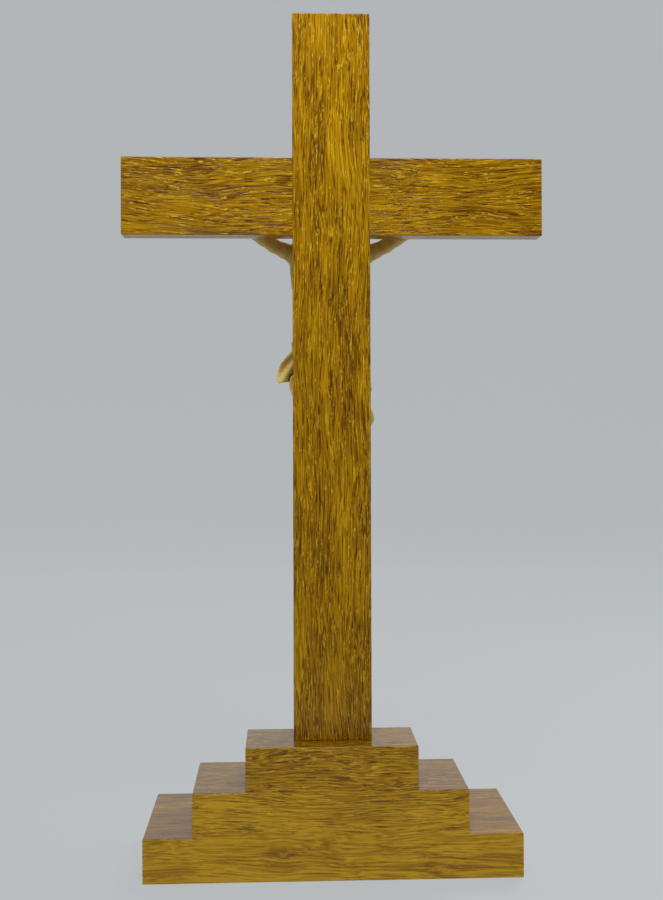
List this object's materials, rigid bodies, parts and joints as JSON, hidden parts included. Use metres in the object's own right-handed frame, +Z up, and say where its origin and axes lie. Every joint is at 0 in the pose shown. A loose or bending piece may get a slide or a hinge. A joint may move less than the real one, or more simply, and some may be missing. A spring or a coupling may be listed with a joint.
{
  "type": "altar cross",
  "caption": "Free-standing altar crucifix: a halved oak cross on a stepped base, flush at the back, with a carved wooden figure nailed to its front.",
  "frame": {"origin": "centre of the base's underside", "axes": "+Z up the cross, the figure faces -Y, +X is the figure's left"},
  "size_m": [0.244, 0.1188, 0.4966],
  "materials": {
    "oak": "stained oak under gloss varnish",
    "limewood": "carved limewood, waxed",
    "beech": "bare turned beech",
    "steel_screws": "zinc plated steel",
    "brass_nails": "aged brass"
  },
  "bodies": {
    "root": {"bottom_step": "oak", "middle_step": "oak", "top_step": "oak", "upright": "oak", "crossbar": "oak", "foot_dowels": "beech", "foot_screw": "steel_screws", "lower_step_screws": "steel_screws", "upper_step_screws": "steel_screws", "corpus_body": "limewood", "corpus_left_arm": "limewood", "corpus_right_arm": "limewood", "shoulder_pegs": "beech", "hand_nails": "brass_nails", "foot_nail": "brass_nails", "title_scroll": "limewood", "title_pins": "brass_nails"}
  },
  "joints": []
}
